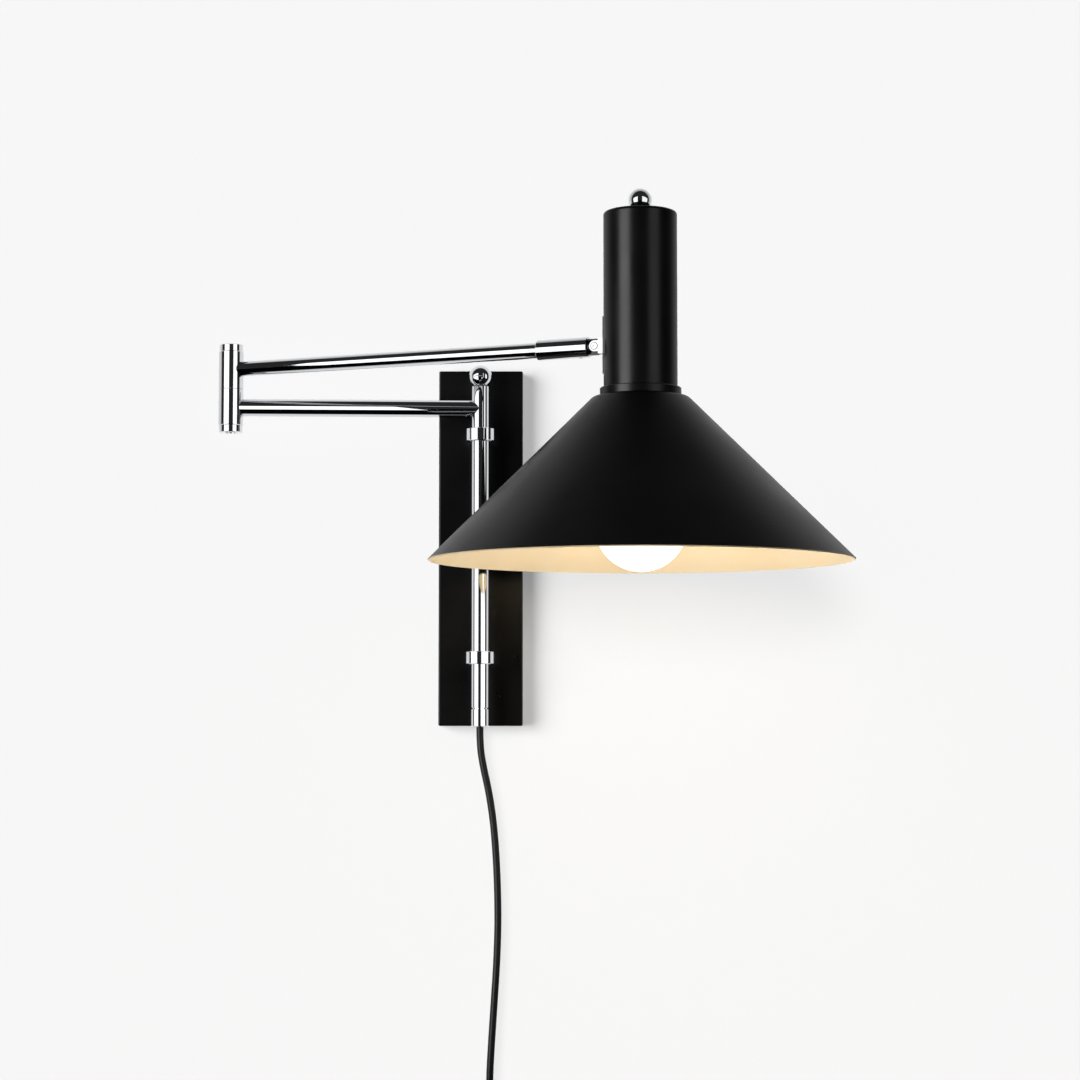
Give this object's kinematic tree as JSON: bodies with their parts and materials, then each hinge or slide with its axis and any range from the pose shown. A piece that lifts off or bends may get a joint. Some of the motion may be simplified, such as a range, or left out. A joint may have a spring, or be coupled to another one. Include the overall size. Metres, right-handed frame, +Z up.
{
  "type": "swing arm wall sconce",
  "caption": "Plug-in wall lamp: a chrome post in collars on a narrow black plate carries a jointed chrome arm with a wide black conical shade.",
  "frame": {"origin": "middle of the mounting plate's back face, on the wall", "axes": "+Z up, +Y into the wall, +X to the right seen from the front; the lamp stands out along -Y"},
  "size_m": [0.4337, 0.298, 0.7613],
  "materials": {
    "black_powder_coat": "matte black powder coat; the shade is ivory enamel inside",
    "chrome": "polished chrome plate",
    "zinc_steel": "zinc-plated steel",
    "white_nylon": "natural nylon",
    "black_rubber": "black flexible PVC",
    "cord_tie_plastic": "black hook-and-loop strap",
    "brass": "plain brass",
    "lead_sheath": "thin PVC sheath",
    "black_phenolic": "moulded phenolic",
    "opal_glass": "frosted opal glass, lit",
    "nickel_brass": "nickel-plated brass"
  },
  "bodies": {
    "wall_mount": {"wall_bracket": "zinc_steel", "plate_cover": "black_powder_coat", "cover_screws": "black_powder_coat", "lower_collar": "chrome", "upper_collar": "chrome", "lower_collar_liner": "white_nylon", "upper_collar_liner": "white_nylon", "collar_washers": "zinc_steel", "collar_nuts": "zinc_steel", "collar_set_screws": "zinc_steel"},
    "post_arm": {"post_tube": "chrome", "post_top_plug": "zinc_steel", "post_ball": "chrome", "post_ferrule": "chrome", "cord_gland": "black_rubber", "lower_arm_tube": "chrome", "lower_elbow_barrel": "chrome", "elbow_pivot_shaft": "zinc_steel", "elbow_lock_nut": "zinc_steel", "lower_elbow_cap": "chrome", "lower_elbow_cap_screw": "chrome", "post_lead": "lead_sheath", "power_cord": "black_rubber", "cord_coil": "black_rubber", "cord_tie": "cord_tie_plastic", "plug_body": "black_rubber", "plug_blades": "brass"},
    "upper_arm": {"upper_elbow_barrel": "chrome", "elbow_bush": "white_nylon", "elbow_thrust_washer": "white_nylon", "elbow_spring_washer": "zinc_steel", "upper_elbow_cap": "chrome", "upper_arm_tube": "chrome", "arm_end_spigot": "zinc_steel", "swivel_lock_nut": "zinc_steel", "arm_lead": "lead_sheath"},
    "arm_end": {"arm_end_sleeve": "chrome", "sleeve_set_screws": "zinc_steel", "swivel_spring_washer": "zinc_steel", "hinge_knuckle": "black_powder_coat"},
    "head": {"hinge_fork": "chrome", "fork_nut": "zinc_steel", "tilt_screw": "chrome", "tilt_nut": "chrome", "saddle_strap": "black_powder_coat", "saddle_screws": "black_powder_coat", "saddle_nuts": "zinc_steel", "neck_shell": "black_powder_coat", "shade_collar": "black_powder_coat", "shade": "black_powder_coat", "shade_lock_ring": "zinc_steel", "lamp_socket": "black_phenolic", "socket_screw_shell": "brass", "socket_contact": "brass", "bulb_globe": "opal_glass", "bulb_base": "nickel_brass", "bulb_contact": "nickel_brass", "switch_body": "black_phenolic"},
    "switch_knob": {"switch_ball": "chrome", "switch_spindle": "zinc_steel"}
  },
  "joints": [
    {"name": "post_swing", "type": "hinge", "parent": "wall_mount", "child": "post_arm", "pos_m": [0, -0.03, 0], "axis": [0, 0, 1], "range_deg": [-6, 40]},
    {"name": "elbow_swing", "type": "hinge", "parent": "post_arm", "child": "upper_arm", "pos_m": [-0.17632, -0.03801, 0.1103], "axis": [0, 0, 1], "range_deg": [-138, 3]},
    {"name": "head_swivel", "type": "hinge", "parent": "upper_arm", "child": "arm_end", "pos_m": [0.0633, -0.13893, 0.1246], "axis": [0.9216, -0.3882, 0], "range_deg": [-90, 6]},
    {"name": "head_tilt", "type": "hinge", "parent": "arm_end", "child": "head", "pos_m": [0.08016, -0.14603, 0.1246], "axis": [-0.3882, -0.9216, 0], "range_deg": [-8, 60]},
    {"name": "switch_turn", "type": "hinge", "parent": "head", "child": "switch_knob", "pos_m": [0.10864, -0.15802, 0.2207], "axis": [0, 0, 1], "continuous": true}
  ]
}
